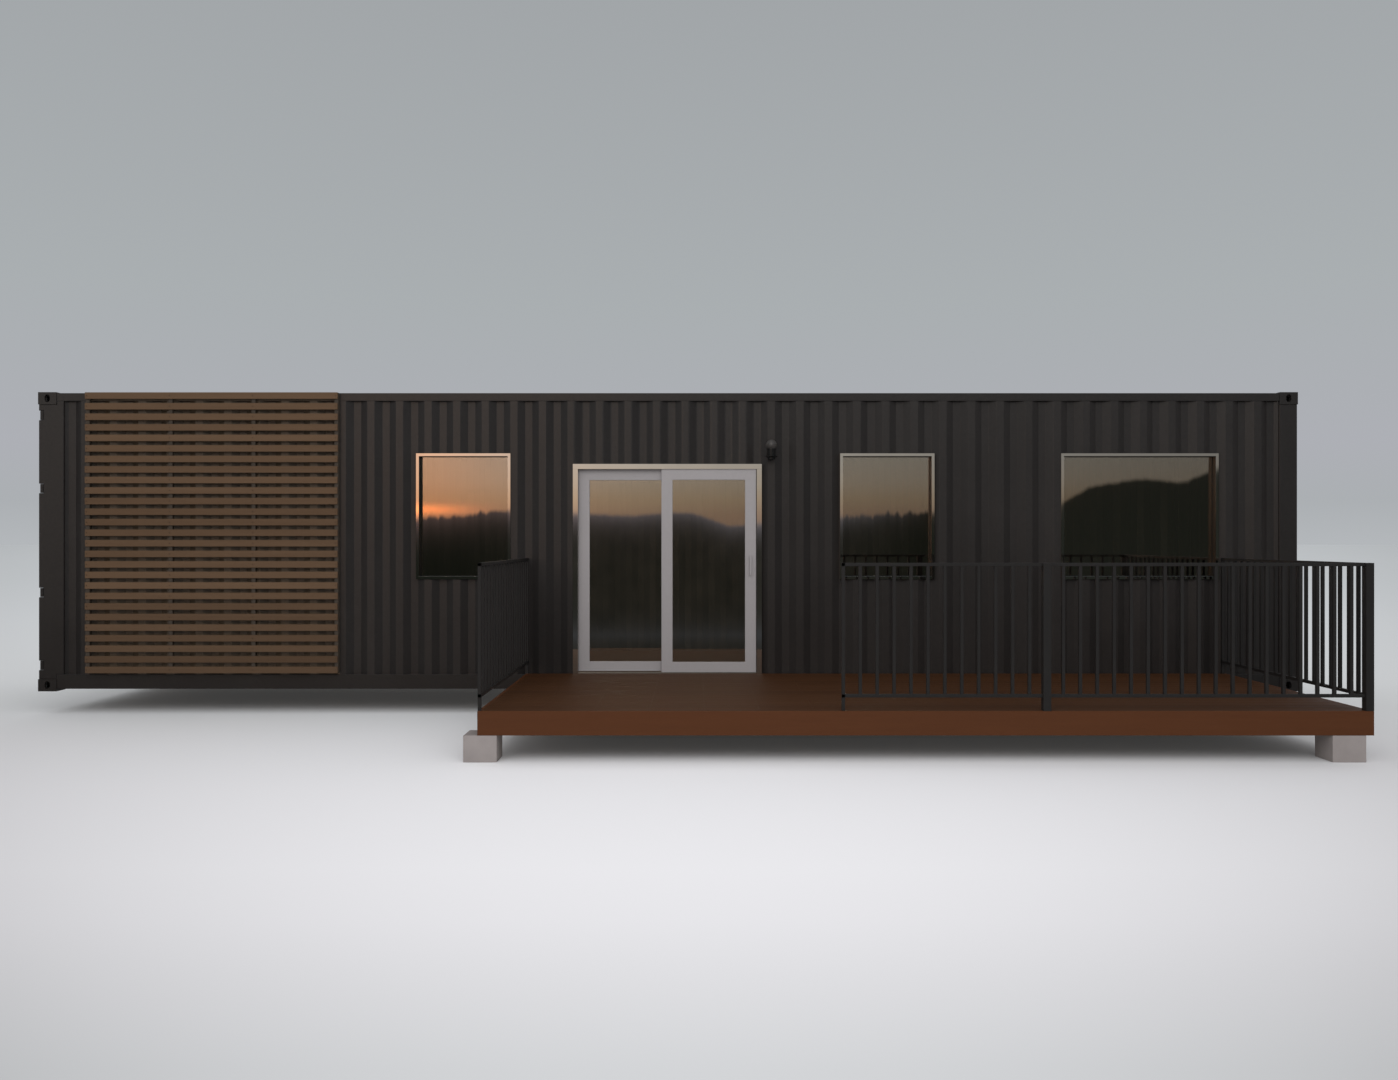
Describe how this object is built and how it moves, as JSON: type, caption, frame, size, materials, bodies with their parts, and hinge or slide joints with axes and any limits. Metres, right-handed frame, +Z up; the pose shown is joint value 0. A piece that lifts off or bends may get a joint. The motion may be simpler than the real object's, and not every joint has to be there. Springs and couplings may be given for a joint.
{
  "type": "shipping container cabin",
  "caption": "Cabin made from a long steel shipping container, with a glazed sliding patio door, fixed windows, a slat screen, a wall lamp and a railed timber deck.",
  "frame": {"origin": "on the ground below the middle of the container's long front side, where the deck meets it", "axes": "+X along the container to the right as seen from the deck, +Y from the deck into the container, +Z up"},
  "size_m": [12.192, 4.876, 3.109],
  "materials": {
    "container_paint": "satin",
    "plywood": "satin",
    "window_metal": "polished",
    "door_white": "satin",
    "window_glass": "polished",
    "slat_wood": "oiled",
    "batten_wood": "painted",
    "deck_wood": "stained",
    "frame_timber": "sawn",
    "railing_black": "satin",
    "lamp_black": "satin",
    "lamp_glass": "polished",
    "roller_plastic": "matte",
    "concrete": "cast",
    "plate_steel": "primed"
  },
  "bodies": {
    "cabin": {"corner_castings": "container_paint", "door_end_posts": "container_paint", "closed_end_posts": "container_paint", "top_rail_front": "container_paint", "top_rail_back": "container_paint", "bottom_rail_front": "container_paint", "bottom_rail_back": "container_paint", "door_header": "container_paint", "door_sill": "container_paint", "closed_end_top_rail": "container_paint", "closed_end_bottom_rail": "container_paint", "cross_members": "container_paint", "plywood_floor": "plywood", "roof_sheet": "container_paint", "back_wall": "container_paint", "closed_end_wall": "container_paint", "front_wall_left": "container_paint", "front_wall_over_door": "container_paint", "front_wall_right": "container_paint", "cargo_door_front_leaf": "container_paint", "cargo_door_back_leaf": "container_paint", "cargo_door_hinges": "container_paint", "locking_bars": "container_paint", "patio_door_head": "window_metal", "patio_door_left_jamb": "window_metal", "patio_door_right_jamb": "window_metal", "patio_door_sill": "window_metal", "fixed_door_panel": "door_white", "fixed_door_glass": "window_glass", "left_window_frame": "window_metal", "left_window_pane": "window_glass", "middle_window_frame": "window_metal", "middle_window_pane": "window_glass", "right_window_frame": "window_metal", "right_window_pane": "window_glass", "screen_battens": "batten_wood", "screen_slats": "slat_wood", "lamp_bracket": "lamp_black", "lamp_globe": "lamp_glass", "lamp_bulb": "lamp_glass", "deck_frame": "frame_timber", "deck_boards": "deck_wood", "deck_fascia": "deck_wood", "front_railing": "railing_black", "left_railing": "railing_black", "right_railing": "railing_black", "deck_blocks": "concrete", "container_blocks": "concrete", "bearing_plates": "plate_steel"},
    "sliding_door": {"sliding_door_panel": "door_white", "sliding_door_glass": "window_glass", "sliding_door_rollers": "roller_plastic", "sliding_door_pull": "door_white"}
  },
  "joints": [
    {"name": "patio_door_slide", "type": "slide", "parent": "cabin", "child": "sliding_door", "axis": [-1, 0, 0], "range_m": [0, 0.79]}
  ]
}
